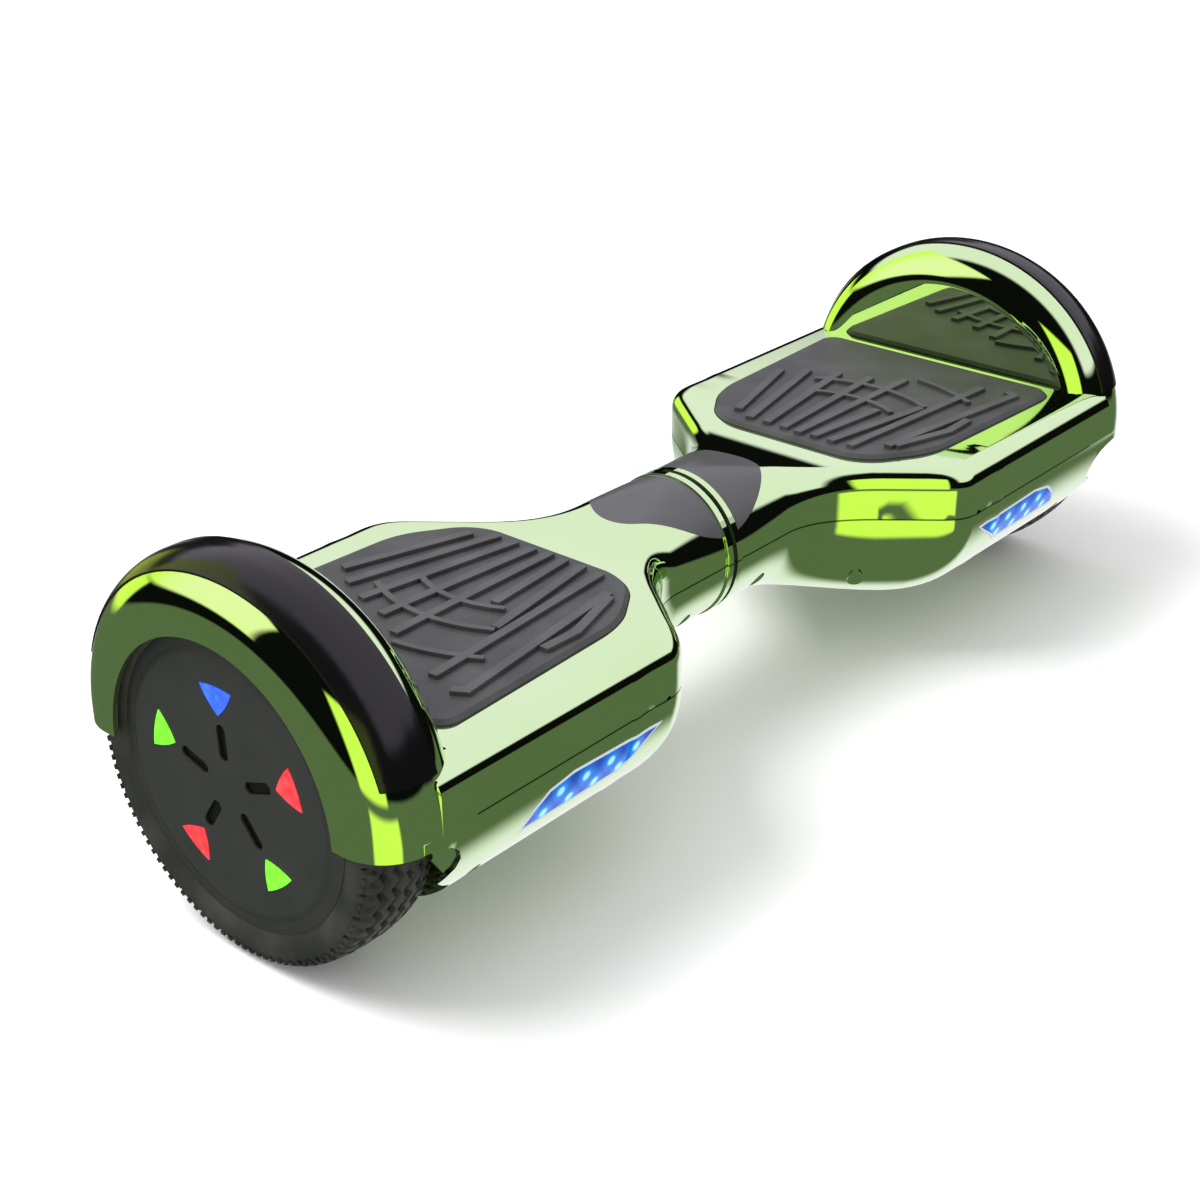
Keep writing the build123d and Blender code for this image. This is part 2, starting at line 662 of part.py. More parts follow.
def main_board():
    """Motor controller: board, heat sink with fins, capacitors and plug sockets."""
    foot = CONTROLLER_Z
    top = foot + 1.6
    board = box((94, 197), (-40, 40), (foot, top)) + box((98, 186), (-38, -26), (top - 0.6, foot + 6))
    for i in range(9):
        board += box((98 + 10 * i, 101 + 10 * i), (-38, -26), (foot + 5, foot + 18))
    for i in range(3):
        board += post(104 + 14 * i, 30, (foot + 1, foot + 22), 5.5)
    for i in range(4):
        board += box((146 + 12 * i, 154 + 12 * i), (24, 36), (foot + 1, foot + 10))
    return board + box((124, 146), (-8, 14), (foot + 1, foot + 4))


def beside_port(up, out):
    """Point above the port's centre along the shell and out from it."""
    return SIDE_Y + out * OUT_Y - up * OUT_Z, SIDE_Z + out * OUT_Z + up * OUT_Y


HINGE_Y, HINGE_Z = beside_port(13.2, 2.0)


def tilted_box(x, up, out, size):
    y, z = beside_port(up, out)
    return Pos(x, y, z) * Rot(degrees(atan2(OUT_Z, OUT_Y)), 0, 0) * Box(size[0], size[2], size[1])


def charge_port():
    """Round charging socket square to the rear side, with contacts, a flange and the cap's hinge pin."""
    body = outward(PORT_X, -16, 0.8, 9.0) + outward(PORT_X, -7.5, 0.8, 10.9)
    body -= outward(PORT_X, -10, 3, 6.0)
    for angle in (90, 210, 330):
        across, up = 3.0 * cos(radians(angle)), 3.0 * sin(radians(angle))
        y, z = beside_port(up, -11)
        contact = Plane(origin=(PORT_X + across, y, z), z_dir=(0, OUT_Y, OUT_Z))
        body += Solid.make_cylinder(0.8, 4.2, contact)
    for x in (PORT_X - 6.2, PORT_X + 6.2):
        body += tilted_box(x, 11.2, 1.2, (2.0, 4.4, 1.6)) + rod((x - 1, x + 1), 1.6, y=HINGE_Y, z=HINGE_Z)
        body += tilted_box(x, 13.2, 1.2, (2.0, 3.2, 1.6))
    return body + rod((PORT_X - 7, PORT_X + 7), 0.75, y=HINGE_Y, z=HINGE_Z)


def charge_cap():
    """Rubber cap over the socket, with its plug and a strap to the hinge above it."""
    cap = outward(PORT_X, 1.0, 3.0, 9.8) + outward(PORT_X, -0.4, 1.5, 5.7)
    cap += tilted_box(PORT_X, 10.5, 2.0, (8.5, 4.5, 2.0))
    cap += rod((PORT_X - 4.8, PORT_X + 4.8), 1.5, y=HINGE_Y, z=HINGE_Z)
    return cap - rod((PORT_X - 6, PORT_X + 6), 0.8, y=HINGE_Y, z=HINGE_Z)


def power_button():
    return outward(BUTTON_X, -6, 1.2, 6.5) + outward(BUTTON_X, -10, -5.5, 7.4)


def button_housing():
    """Barrel behind the shell that guides the button."""
    body = outward(BUTTON_X, -16, -3.8, 9.5) + outward(BUTTON_X, -5, 0.5, 7.9)
    return body - outward(BUTTON_X, -14.5, -4.9, 7.7) - outward(BUTTON_X, -8, 3, 6.7)


# Wiring, held by the frames
def lead(points, r):
    """A bundle of leads along a smooth run of points."""
    path = Spline(*points)
    start = Plane(origin=path @ 0, z_dir=path % 0)
    return sweep(start * Circle(r), path=path)


def motor_lead():
    """From the axle's bore, under the tray, to a plug near the middle of the half."""
    run = [(197, 0, AXLE_Z), (190, 10, 85.2), (180, 26, 86), (172, 38, 85)]
    return rod((196.5, 259), 3.2) + lead(run, 3.2) + box((166, 178), (36, 48), (80, 88))


def cross_harness():
    """Leads through the pivot tube with a plug at each end, and the left motor's leads."""
    through = rod((-92, 76), 4.5, z=SEAM_Z)
    through += box((-104, -91), (-8, 8), (SEAM_Z - 5, SEAM_Z + 5))
    through += box((75, 88), (-8, 8), (SEAM_Z - 5, SEAM_Z + 5))
    return Compound([through.solid(), to_left(motor_lead()).solid()])


def write(shape, name):
    shape.label = name
    export_step(shape, f"parts/{name}.step")


def to_left(shape):
    return mirror(shape, Plane.YZ)


# Nodes that both halves have
BOTH = {
    "fender_strip": fender_strip(),
    "neck_trim": neck_trim(),
    "lamp_lens": lamp_lens(),
    "lamp_frame": lamp_frame(),
    "lamp_board": lamp_board(),
    "foot_pad": foot_pad(),
    "axle_clamp": axle_clamp(),
    "clamp_bolts": clamp_bolts(),
    "sensor_board": sensor_board(),
    "shell_screws": shell_screws(),
    "top_shell": top_shell(),
    "axle": axle(),
    "stator": wound_stator(),
    "tyre": tyre(),
    "rotor": rotor(),
    "inner_cover": inner_cover(),
    "bearings": bearings(),
    "magnets": magnets(),
    "hub_cover": hub_cover(),
}
WINDOW_COLOURS = ["red", "blue", "green", "red", "green"]
for colour in sorted(set(WINDOW_COLOURS)):
    panes = [pane for pane, own in zip(hub_windows().solids(), WINDOW_COLOURS) if own == colour]
    BOTH["window_" + colour] = Compound(panes)
for name, shape in BOTH.items():
    write(shape, name + "_right")
    write(to_left(shape), name + "_left")

write(bottom_shell(True), "bottom_shell_right")
write(to_left(bottom_shell(False)), "bottom_shell_left")
write(chassis(BUSH_R) - stop_slot(), "chassis_right")
write(to_left(chassis(TUBE_R)), "chassis_left")
write(pivot_tube(), "pivot_tube")
write(pivot_bushes(), "pivot_bushes")
write(Compound([stop_pin().solid(), retaining_ring().solid()]), "pivot_retainers")
write(joint_seal(), "joint_seal")
write(cross_harness(), "cross_harness")
write(motor_lead(), "motor_lead_right")
write(battery_pack(), "battery_pack")
write(main_board(), "main_board")
write(charge_port(), "charge_port")
write(charge_cap(), "charge_cap")
write(power_button(), "power_button")
write(button_housing(), "button_housing")
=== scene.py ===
import math

import bmesh
import bpy
import numpy as np
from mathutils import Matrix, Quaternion, Vector


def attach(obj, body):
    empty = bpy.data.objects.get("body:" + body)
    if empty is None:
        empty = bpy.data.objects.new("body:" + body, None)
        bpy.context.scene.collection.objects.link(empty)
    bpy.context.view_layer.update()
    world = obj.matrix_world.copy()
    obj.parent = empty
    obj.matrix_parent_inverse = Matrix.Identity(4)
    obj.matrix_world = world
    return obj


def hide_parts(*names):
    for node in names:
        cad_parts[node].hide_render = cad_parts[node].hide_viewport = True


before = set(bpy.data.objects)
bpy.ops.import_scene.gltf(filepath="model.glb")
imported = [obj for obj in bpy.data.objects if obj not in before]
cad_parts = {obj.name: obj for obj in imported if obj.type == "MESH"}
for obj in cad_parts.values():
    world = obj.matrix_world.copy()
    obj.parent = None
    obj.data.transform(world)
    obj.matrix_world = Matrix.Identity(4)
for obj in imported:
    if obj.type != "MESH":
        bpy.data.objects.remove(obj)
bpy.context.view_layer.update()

# Measures of the whole board, in metres. Each half is the other's mirror image about the joint.
SEAM = 0.088
NECK = 0.0364
SIDE = 0.0965
DECK = 0.114
BELLY = 0.030
SHELL_WALL = 0.0025
WALL_X = 0.2435
LIP_X = 0.292
ARCH_Z = 0.088
ARCH_H = 0.091
AXLE_Z = 0.0825
SIDES = {"left": -1, "right": 1}
WHITE = (1.0, 1.0, 1.0)


class Wire:
    """One value or colour on its way through a finish; sums on it become Math nodes."""

    def __init__(self, finish, socket):
        self.finish, self.socket = finish, socket

    def sum(self, kind, *values):
        return self.finish.add("ShaderNodeMath", {"operation": kind}, dict(enumerate(values)))

    def __add__(self, other):
        return self.sum("ADD", self, other)

    def __radd__(self, other):
        return self.sum("ADD", other, self)

    def __sub__(self, other):
        return self.sum("SUBTRACT", self, other)

    def __rsub__(self, other):
        return self.sum("SUBTRACT", other, self)

    def __mul__(self, other):
        return self.sum("MULTIPLY", self, other)

    def __rmul__(self, other):
        return self.sum("MULTIPLY", other, self)

    def __truediv__(self, other):
        return self.sum("DIVIDE", self, other)

    def __pow__(self, other):
        return self.sum("POWER", self, other)

    def size(self):
        return self.sum("ABSOLUTE", self)

    def rises(self, low, high):
        """0 below low, 1 above high, smooth between."""
        values = {0: self, 1: low, 2: high, 3: 0.0, 4: 1.0}
        return self.finish.add("ShaderNodeMapRange", {"interpolation_type": "SMOOTHSTEP"}, values)

    def falls(self, low, high):
        return 1 - self.rises(low, high)


class Finish:
    """A material: fixed numbers go on the shader's own sockets, and what varies is fed to them."""

    def __init__(self, name, colour=(0.5, 0.5, 0.5), **fixed):
        self.made = bpy.data.materials.new(name)
        self.made.use_nodes = True
        self.nodes, self.links = self.made.node_tree.nodes, self.made.node_tree.links
        self.shader = self.nodes["Principled BSDF"]
        self.shader.inputs["Base Color"].default_value = (*colour, 1)
        for name_, value in fixed.items():
            self.shader.inputs[name_.replace("_", " ")].default_value = value

    def add(self, kind, settings=None, values=None, out=0):
        node = self.nodes.new(kind)
        for key, value in (settings or {}).items():
            setattr(node, key, value)
        for key, value in (values or {}).items():
            if isinstance(value, Wire):
                self.links.new(value.socket, node.inputs[key])
            else:
                node.inputs[key].default_value = value
        return Wire(self, node.outputs[out])

    def place(self):
        """Where a point is on the piece itself, so that a finish moves with it."""
        return self.add("ShaderNodeTexCoord", out=3)

    def axes(self):
        parts = self.add("ShaderNodeSeparateXYZ", values={0: self.place()})
        return [Wire(self, parts.socket.node.outputs[i]) for i in range(3)]

    def noise(self, scale, detail=3.0, stretch=(1, 1, 1)):
        spot = self.add("ShaderNodeMapping", values={"Vector": self.place(), "Scale": stretch})
        values = {"Vector": spot, "Scale": scale, "Detail": detail}
        return self.add("ShaderNodeTexNoise", values=values)

    def mix(self, share, a, b):
        a = (*a, 1) if isinstance(a, tuple) else a
        b = (*b, 1) if isinstance(b, tuple) else b
        return self.add("ShaderNodeMix", {"data_type": "RGBA"}, {0: share, 6: a, 7: b}, out=2)

    def feed(self, name, wire):
        self.links.new(wire.socket, self.shader.inputs[name])
        return self

    def bump(self, height, strength, depth):
        values = {"Height": height, "Strength": strength, "Distance": depth}
        return self.feed("Normal", self.add("ShaderNodeBump", values=values))


def paint(finish, *nodes):
    for node in nodes:
        mesh = bpy.data.objects[node].data
        mesh.materials.clear()
        mesh.materials.append(finish.made)


def both(*names):
    return [f"{name}_{side}" for name in names for side in SIDES]


def round_edges(node, width):
    edge = bpy.data.objects[node].modifiers.new("edge", "BEVEL")
    edge.width, edge.segments, edge.limit_method = width, 2, "ANGLE"
    return edge


def worked(mesh, work):
    """Runs some of bmesh's tools over a mesh, in place."""
    build = bmesh.new()
    build.from_mesh(mesh)
    work(build)
    build.to_mesh(mesh)
    build.free()


def new_piece(name, mesh):
    piece = bpy.data.objects.new(name, mesh)
    bpy.context.collection.objects.link(piece)
    return piece


# Shells of the two halves: moulded ABS, electroplated to a green mirror. The top shell carries the fender
# over its wheel, the bottom shell closes the belly, and eight screws from below pull them together.
chrome = Finish("green_chrome", Metallic=1.0)
smear = chrome.noise(9, 4)
speck = chrome.noise(420, 2)
across, _, height = chrome.axes()
on_body = across.size().falls(WALL_X - 0.001, WALL_X)
seam_line = (height - SEAM).size().falls(0.0003, 0.0006) * on_body
plating = chrome.mix(smear.rises(0.35, 0.7), (0.65, 0.88, 0.47), (0.68, 0.90, 0.51))
chrome.feed("Base Color", chrome.mix(0.85 * seam_line, plating, (0.01, 0.02, 0.01)))
chrome.feed("Roughness", 0.022 + 0.03 * smear.rises(0.45, 0.75) + 0.02 * speck.rises(0.62, 0.7))
chrome.bump(chrome.noise(26, 1), 0.02, 0.0006)


def ease(x, start, end):
    """0 before start, 1 after end, smooth between."""
    t = np.clip((x - start) / (end - start), 0, 1)
    return t * t * (3 - 2 * t)


def smooth_max(a, b, blend):
    """The larger of the two, rounded where they cross."""
    near = np.maximum(blend - np.abs(a - b), 0) / blend
    return np.maximum(a, b) + near * near * blend / 4


def half_width(x):
    """Half the body's depth at a distance from the joint: neck, flare, then the straight side."""
    rise = NECK + 1.25 * (x - 0.066)
    return -smooth_max(-SIDE, -smooth_max(NECK, rise, 0.026), 0.010)


def rounded_corner(a, b, r):
    """Distance to a corner of radius r, from how far past its centre a point is along each side."""
    return np.hypot(np.maximum(a, 0), np.maximum(b, 0)) + np.minimum(np.maximum(a, b), 0) - r


def body_gap(p, wall):
    """How far each point is outside the body's surface, moved in by a wall; it changes at the seam."""
    x, y, z = np.minimum(np.abs(p[:, 0]), 0.150), np.abs(p[:, 1]), p[:, 2]
    w = half_width(x) - wall
    top = SEAM + NECK + (DECK - SEAM - NECK) * ease(x, 0.008, 0.078) - wall
    r = np.maximum(0.0358 - 0.0248 * ease(x, 0.004, 0.082) - wall, 0.001)
    out_y, out_z = y - w + r, z - top + r
    upper = rounded_corner(out_y, out_z, r)
    belly = SEAM - NECK + (BELLY - SEAM + NECK) * ease(x, 0.020, 0.135) + wall
    flat = 0.0006 + 0.0344 * ease(x, 0.030, 0.135)
    v = (SEAM - z) / (SEAM - belly)
    u = np.maximum(y - flat, 0) / (w - flat)
    lower = (np.hypot(u, v) - 1) * (SEAM - belly)
    return np.where(z > SEAM, upper, lower)


def fender_gap(p, wall):
    """The same for the fender: an arch across the wheel with rounded shoulders."""
    x, y, z = np.abs(p[:, 0]), p[:, 1], p[:, 2]
    w, h = SIDE - wall, ARCH_H - wall
    u, v = y / w, np.maximum(z - ARCH_Z, 0) / h
    rim = np.hypot(u, v)
    steep = np.maximum(np.hypot(u / w, v / h), 1e-6)
    over = rim * (rim - 1) / steep
    outside = x > (WALL_X + LIP_X) / 2
    r = np.where(outside, 0.024, 0.020) - wall
    across = np.where(outside, x - LIP_X + wall, WALL_X + wall - x)
    return rounded_corner(across + r, over + r, r)


def slope(gap, p, wall):
    """The direction in which a gap grows fastest, as a unit vector for each point."""
    step = 2e-5
    g = np.stack([gap(p + step * e, wall) - gap(p - step * e, wall) for e in np.eye(3)], 1)
    return g / np.maximum(np.linalg.norm(g, axis=1, keepdims=True), 1e-9)


def read(items, name, width):
    """One value of every item of a mesh, as rows of the given width."""
    flat = np.empty(len(items) * width)
    items.foreach_get(name, flat)
    return flat.reshape(-1, width)


def true_normals(mesh):
    """Gives each corner near one of the formed surfaces that surface's own normal, for a clean mirror."""
    co = read(mesh.vertices, "co", 3)
    loops = read(mesh.loops, "vertex_index", 1)[:, 0].astype(int)
    normals = read(mesh.corner_normals, "vector", 3)
    face_of = np.repeat(np.arange(len(mesh.polygons)), [p.loop_total for p in mesh.polygons])
    flat = read(mesh.polygons, "normal", 3)[face_of]
    for gap in (body_gap, fender_gap):
        for wall, sign in ((0, 1), (SHELL_WALL, -1)):
            near = np.abs(gap(co, wall)) < 0.0006
            n = slope(gap, co, wall) * sign
            use = near[loops] & ((n[loops] * flat).sum(1) > 0.90)
            normals[use] = n[loops][use]
    mesh.normals_split_custom_set([tuple(n) for n in normals])


def copied(node, name):
    """A fresh piece with a CAD node's shape, its loose triangles joined."""
    mesh = bpy.data.objects[node].data.copy()
    worked(mesh, lambda build: bmesh.ops.remove_doubles(build, verts=build.verts, dist=2e-6))
    mesh.materials.clear()
    piece = new_piece(name, mesh)
    mesh.set_sharp_from_angle(angle=math.radians(24))
    return piece


for side in SIDES:
    for half in ("top", "bottom"):
        node = f"{half}_shell_{side}"
        shell = copied(node, f"chrome_{half}_{side}")
        true_normals(shell.data)
        shell.data.materials.append(chrome.made)
        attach(shell, f"{side}_half")
        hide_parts(node)

# Fender strips and neck plates: injection-moulded covers clipped into the shells, one in polished black,
# the other in a dark satin grey that the indicators shine through.
black = Finish("black_gloss", (0.004, 0.004, 0.0045), IOR=1.45)
dust = black.noise(34, 5)
black.feed("Roughness", 0.16 + 0.12 * dust.rises(0.45, 0.8))
black.bump(black.noise(30, 1), 0.03, 0.0005)
paint(black, *both("fender_strip"))

satin = Finish("dark_satin", (0.1, 0.1, 0.1), IOR=1.5)
cloud = satin.noise(60, 4)
satin.feed("Base Color", satin.mix(cloud, (0.060, 0.062, 0.064), (0.078, 0.080, 0.083)))
satin.feed("Roughness", 0.30 + 0.10 * cloud)
satin.bump(satin.noise(1400, 2), 0.08, 0.0002)
paint(satin, *both("neck_trim"))

# Foot pads: moulded rubber mats with raised ribs for grip, sitting in a recess on the foot switches.
rubber = Finish("pad_rubber", (0.05, 0.05, 0.05), IOR=1.5)
grime = rubber.noise(45, 5)
_, _, height = rubber.axes()
# Painted highlight: the rib tops are painted paler than the grooves between them, which leaves painted
# shade in the grooves. The grime noise on top of it is random dirt.
lit_rib_tops = height.rises(0.1172, 0.1186)
paler = grime.rises(0.3, 0.75) * 0.5 + lit_rib_tops * 0.4
rubber.feed("Base Color", rubber.mix(paler, (0.040, 0.041, 0.043), (0.085, 0.086, 0.09)))
rubber.feed("Roughness", 0.46 + 0.16 * grime)
rubber.bump(rubber.noise(1500, 3) + 0.4 * grime, 0.14, 0.0003)
for node in both("foot_pad"):
    round_edges(node, 0.0005).angle_limit = math.radians(35)
paint(rubber, *both("foot_pad"))

# Headlamps: a tinted lens with eight lamps behind it, in a pale frame, lit by a strip board.
LAMP_PITCH = 0.0158
lens = Finish("lamp_lens", (0.0, 0.004, 0.03), Roughness=0.22, IOR=1.35, Emission_Strength=1.0)
x, _, z = lens.axes()
along = x.size()


def lamp_row(first, level):
    """Distance in the lens's plane from the nearest lamp of a row of four."""
    shift = (along - (first - LAMP_PITCH / 2)) / LAMP_PITCH
    inside = shift.sum("FRACT", shift)
    return (((inside - 0.5) * LAMP_PITCH) ** 2 + (z - level) ** 2) ** 0.5


upper, lower = lamp_row(0.1455, 0.0735), lamp_row(0.1540, 0.0665)
nearest = upper.sum("MINIMUM", upper, lower)
glow = nearest.falls(0.0, 0.0085)
core = nearest.falls(0.0014, 0.0030)
ripple = lens.noise(130, 2, (1, 1, 1.6)).rises(0.35, 0.7)
blue = lens.mix(glow * 0.85 + 0.15 * ripple, (0.0, 0.045, 0.42), (0.0, 0.30, 1.0))
lens.feed("Emission Color", lens.mix(core, blue, (0.35, 0.85, 1.0)))
paint(lens, *both("lamp_lens"))

# Painted light: the frame is given a faint pale blue emission of its own, though it is no lamp.
pale = Finish("lamp_frame", (0.55, 0.60, 0.62), IOR=1.5, Emission_Strength=0.08)
pale.feed("Roughness", 0.25 + 0.15 * pale.noise(200, 3))
pale.feed("Emission Color", pale.mix(pale.noise(80, 2), (0.6, 0.75, 1.0), (0.75, 0.85, 1.0)))
paint(pale, *both("lamp_frame"))

# Tyres: solid rubber rings bonded on the rotors of the hub motors. The tread has zigzag grooves, short
# bars along both shoulders, and a ring of moulded nubs at the edge of each side wall.
tread = Finish("tyre_rubber", (0.02, 0.02, 0.02), IOR=1.5)
scuff = tread.noise(38, 5)
tread.feed("Base Color", tread.mix(scuff.rises(0.35, 0.75), (0.018, 0.018, 0.019), (0.040, 0.040, 0.041)))
tread.feed("Roughness", 0.50 + 0.2 * scuff)
tread.bump(tread.noise(900, 3), 0.12, 0.0003)

TURNS = 600
ZIGZAGS = 50
SHOULDER_BARS = 75
TYRE_MIDDLE = 0.26825
TYRE_RADIUS = 0.0825


def zigzag(turn, shift):
    """A wave of straight lines round the tyre, from -0.5 to 0.5."""
    return np.abs(((turn * ZIGZAGS / math.tau + shift) % 1) * 2 - 1)[:, None] - 0.5


def groove(x, at, width, depth):
    return depth * (1 - ease(np.abs(x - at), width * 0.32, width * 0.62))


def tyre_profile():
    """Half of a cut through the tyre: across the axle and out from it, from the inner bead to the outer."""
    inner_wall = [(0.2515, 0.0660), (0.2493, 0.0690), (0.2487, 0.0715), (0.2485, 0.0740),
                  (0.2489, 0.0765), (0.2498, 0.0782), (0.2512, 0.0796)]
    crown = [(x, TYRE_RADIUS - 0.0017 * (abs(x - TYRE_MIDDLE) / 0.016) ** 2.6)
             for x in np.linspace(0.2522, 0.2843, 44)]
    outer_wall = [(0.2853, 0.0796), (0.2867, 0.0782), (0.2876, 0.0765), (0.2880, 0.0740),
                  (0.2878, 0.0715), (0.2872, 0.0690), (0.2850, 0.0660)]
    return np.array(inner_wall + crown + outer_wall).T


def tread_depth(x, r, turn):
    """How deep the tread is cut: four zigzag grooves, and short bars along both shoulders."""
    cut = np.zeros_like(x)
    for at, swing in ((-0.0105, 0.0030), (-0.0036, 0.0034), (0.0036, 0.0034), (0.0105, 0.0030)):
        wave = zigzag(turn, 0.0 if at > 0 else 0.5)
        cut = np.maximum(cut, groove(x, TYRE_MIDDLE + at + swing * wave, 0.0021, 0.0024))
    bars = ((turn * SHOULDER_BARS / math.tau) % 1)[:, None]
    bar_cut = 0.0016 * (1 - ease(np.abs(bars - 0.5), 0.12, 0.2))
    shoulder = ease(np.abs(x - TYRE_MIDDLE), 0.0125, 0.0140) * ease(r, 0.0758, 0.0772)
    return np.maximum(cut, bar_cut * shoulder) * ease(r, 0.0752, 0.0775)


def tyre_mesh(name, sign):
    """A closed ring: the profile's points all the way round, cut by the tread's grooves."""
    xs, rs = tyre_profile()
    count = len(xs)
    turn = np.arange(TURNS) / TURNS * math.tau
    x, r = np.repeat(xs[None], TURNS, 0), np.repeat(rs[None], TURNS, 0)
    r = r - tread_depth(x, r, turn)
    y, z = r * np.cos(turn)[:, None], AXLE_Z + r * np.sin(turn)[:, None]
    verts = np.stack([sign * x, y, z], 2).reshape(-1, 3)
    faces = []
    for i in range(TURNS):
        j = (i + 1) % TURNS
        for k in range(count):
            m = (k + 1) % count
            faces.append((i * count + k, i * count + m, j * count + m, j * count + k))
    mesh = bpy.data.meshes.new(name)
    mesh.from_pydata(verts.tolist(), [], faces)
    worked(mesh, lambda build: bmesh.ops.recalc_face_normals(build, faces=build.faces))
    mesh.shade_smooth()
    mesh.set_sharp_from_angle(angle=math.radians(50))
    return new_piece(name, mesh)


for side, sign in SIDES.items():
    ring = tyre_mesh(f"tread_{side}", sign)
    ring.data.materials.append(tread.made)
    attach(ring, f"{side}_wheel")
    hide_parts(f"tyre_{side}")


def block_ring():
    """A tree that repeats a small block round the axle, with how many, how far out, how big and where."""
    tree = bpy.data.node_groups.new("blocks_round_axle", "GeometryNodeTree")
    inputs = {"Count": "Int", "Radius": "Float", "Block": "Vector", "Centre": "Vector",
              "Material": "Material"}
    named = {}
    for label, kind in inputs.items():
        socket = tree.interface.new_socket(label, in_out="INPUT", socket_type=f"NodeSocket{kind}")
        named[label] = socket.identifier
    tree.interface.new_socket("Blocks", in_out="OUTPUT", socket_type="NodeSocketGeometry")
    given, out = tree.nodes.new("NodeGroupInput"), tree.nodes.new("NodeGroupOutput")
    circle = tree.nodes.new("GeometryNodeMeshCircle")
    block = tree.nodes.new("GeometryNodeMeshCube")
    place = tree.nodes.new("GeometryNodeInputPosition")
    facing = tree.nodes.new("FunctionNodeAlignRotationToVector")
    facing.axis = "X"
    spread = tree.nodes.new("GeometryNodeInstanceOnPoints")
    real = tree.nodes.new("GeometryNodeRealizeInstances")
    stand = tree.nodes.new("GeometryNodeTransform")
    stand.inputs["Rotation"].default_value = (0, math.pi / 2, 0)
    coat = tree.nodes.new("GeometryNodeSetMaterial")
    for start, end in ((given.outputs["Count"], circle.inputs["Vertices"]),
                       (given.outputs["Radius"], circle.inputs["Radius"]),
                       (given.outputs["Block"], block.inputs["Size"]),
                       (circle.outputs["Mesh"], spread.inputs["Points"]),
                       (block.outputs["Mesh"], spread.inputs["Instance"]),
                       (place.outputs["Position"], facing.inputs["Vector"]),
                       (facing.outputs["Rotation"], spread.inputs["Rotation"]),
                       (spread.outputs["Instances"], stand.inputs["Geometry"]),
                       (given.outputs["Centre"], stand.inputs["Translation"]),
                       (stand.outputs["Geometry"], real.inputs["Geometry"]),
                       (real.outputs["Geometry"], coat.inputs["Geometry"]),
                       (given.outputs["Material"], coat.inputs["Material"]),
                       (coat.outputs["Geometry"], out.inputs["Blocks"])):
        tree.links.new(start, end)
    return tree, named


ring_tree, ring_inputs = block_ring()


def ring_of_blocks(name, body, **values):
    """Runs the tree once and keeps its result as a plain piece on a body."""
    holder = new_piece("holder", bpy.data.meshes.new("holder"))
    run = holder.modifiers.new("blocks", "NODES")
    run.node_group = ring_tree
    for label, value in values.items():
        run[ring_inputs[label]] = value
    result = holder.evaluated_get(bpy.context.evaluated_depsgraph_get())
    mesh = bpy.data.meshes.new_from_object(result)
    bpy.data.objects.remove(holder)
    piece = new_piece(name, mesh)
    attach(piece, body)
    return piece


for side, sign in SIDES.items():
    for edge, x in (("outer", 0.2865), ("inner", 0.2500)):
        nubs = ring_of_blocks(f"nubs_{edge}_{side}", f"{side}_wheel", Count=110, Radius=0.0782,
                              Block=(0.0016, 0.0022, 0.0018), Centre=(sign * x, 0, AXLE_Z),
                              Material=tread.made)

# Hub covers: dark moulded discs clipped into the rotors. Their slots are painted black inside as painted
# shade, and five windows of clear coloured plastic between them are given a glow of their own, painted
# light.
cover = Finish("hub_plastic", (0.04, 0.04, 0.04), IOR=1.5)
haze = cover.noise(50, 4)
face = cover.mix(haze, (0.022, 0.022, 0.023), (0.034, 0.034, 0.036))
x, y, z = cover.axes()
radius = (y * y + (z - AXLE_Z) ** 2) ** 0.5
# Painted shade: the floors of the slots, below the cover's face, are coloured near black.
painted_slot_shade = x.size().falls(0.2857, 0.2865) * radius.falls(0.038, 0.042)
cover.feed("Base Color", cover.mix(painted_slot_shade, face, (0.002, 0.002, 0.002)))
cover.feed("Roughness", 0.40 + 0.12 * haze)
cover.bump(cover.noise(1300, 2), 0.10, 0.0002)
paint(cover, *both("hub_cover"))
for node in both("hub_cover"):
    round_edges(node, 0.0004)

for colour, deep, bright in (("red", (0.75, 0.01, 0.02), (1.0, 0.08, 0.10)),
                             ("blue", (0.01, 0.07, 0.85), (0.05, 0.20, 1.0)),
                             ("green", (0.10, 0.75, 0.01), (0.28, 1.0, 0.04))):
    # Painted light: the windows are given emission of their own, though no lamp is behind them.
    glowing_pane = Finish(f"window_{colour}", deep, Coat_Weight=0.6, Coat_Roughness=0.05, Roughness=0.35,
                  Emission_Strength=0.75)
    flutes = glowing_pane.noise(260, 2)
    glowing_pane.feed("Emission Color", glowing_pane.mix(flutes.rises(0.3, 0.7), deep, bright))
    paint(glowing_pane, *both(f"window_{colour}"))

# Chassis and motor parts: die-cast aluminium frames and clamps, zinc-plated steel axles, tube and bolts,
# laminated stator cores with enamelled windings, and magnets round the inside of each rotor.
cast = Finish("cast_aluminium", (0.55, 0.56, 0.57), Metallic=1.0)
grain = cast.noise(700, 3)
cast.feed("Base Color", cast.mix(grain, (0.50, 0.51, 0.52), (0.62, 0.63, 0.64)))
cast.feed("Roughness", 0.42 + 0.18 * grain)
cast.bump(grain, 0.25, 0.0004)
paint(cast, *both("chassis", "axle_clamp", "rotor", "inner_cover"))

steel = Finish("plated_steel", (0.55, 0.56, 0.58), Metallic=1.0)
brush = steel.noise(300, 3, (8, 1, 1))
steel.feed("Base Color", steel.mix(brush, (0.50, 0.51, 0.53), (0.62, 0.62, 0.64)))
steel.feed("Roughness", 0.22 + 0.18 * brush)
steel.bump(brush, 0.06, 0.0002)
paint(steel, *both("axle", "clamp_bolts", "shell_screws", "bearings", "magnets"),
      "pivot_tube", "pivot_retainers", "power_button")

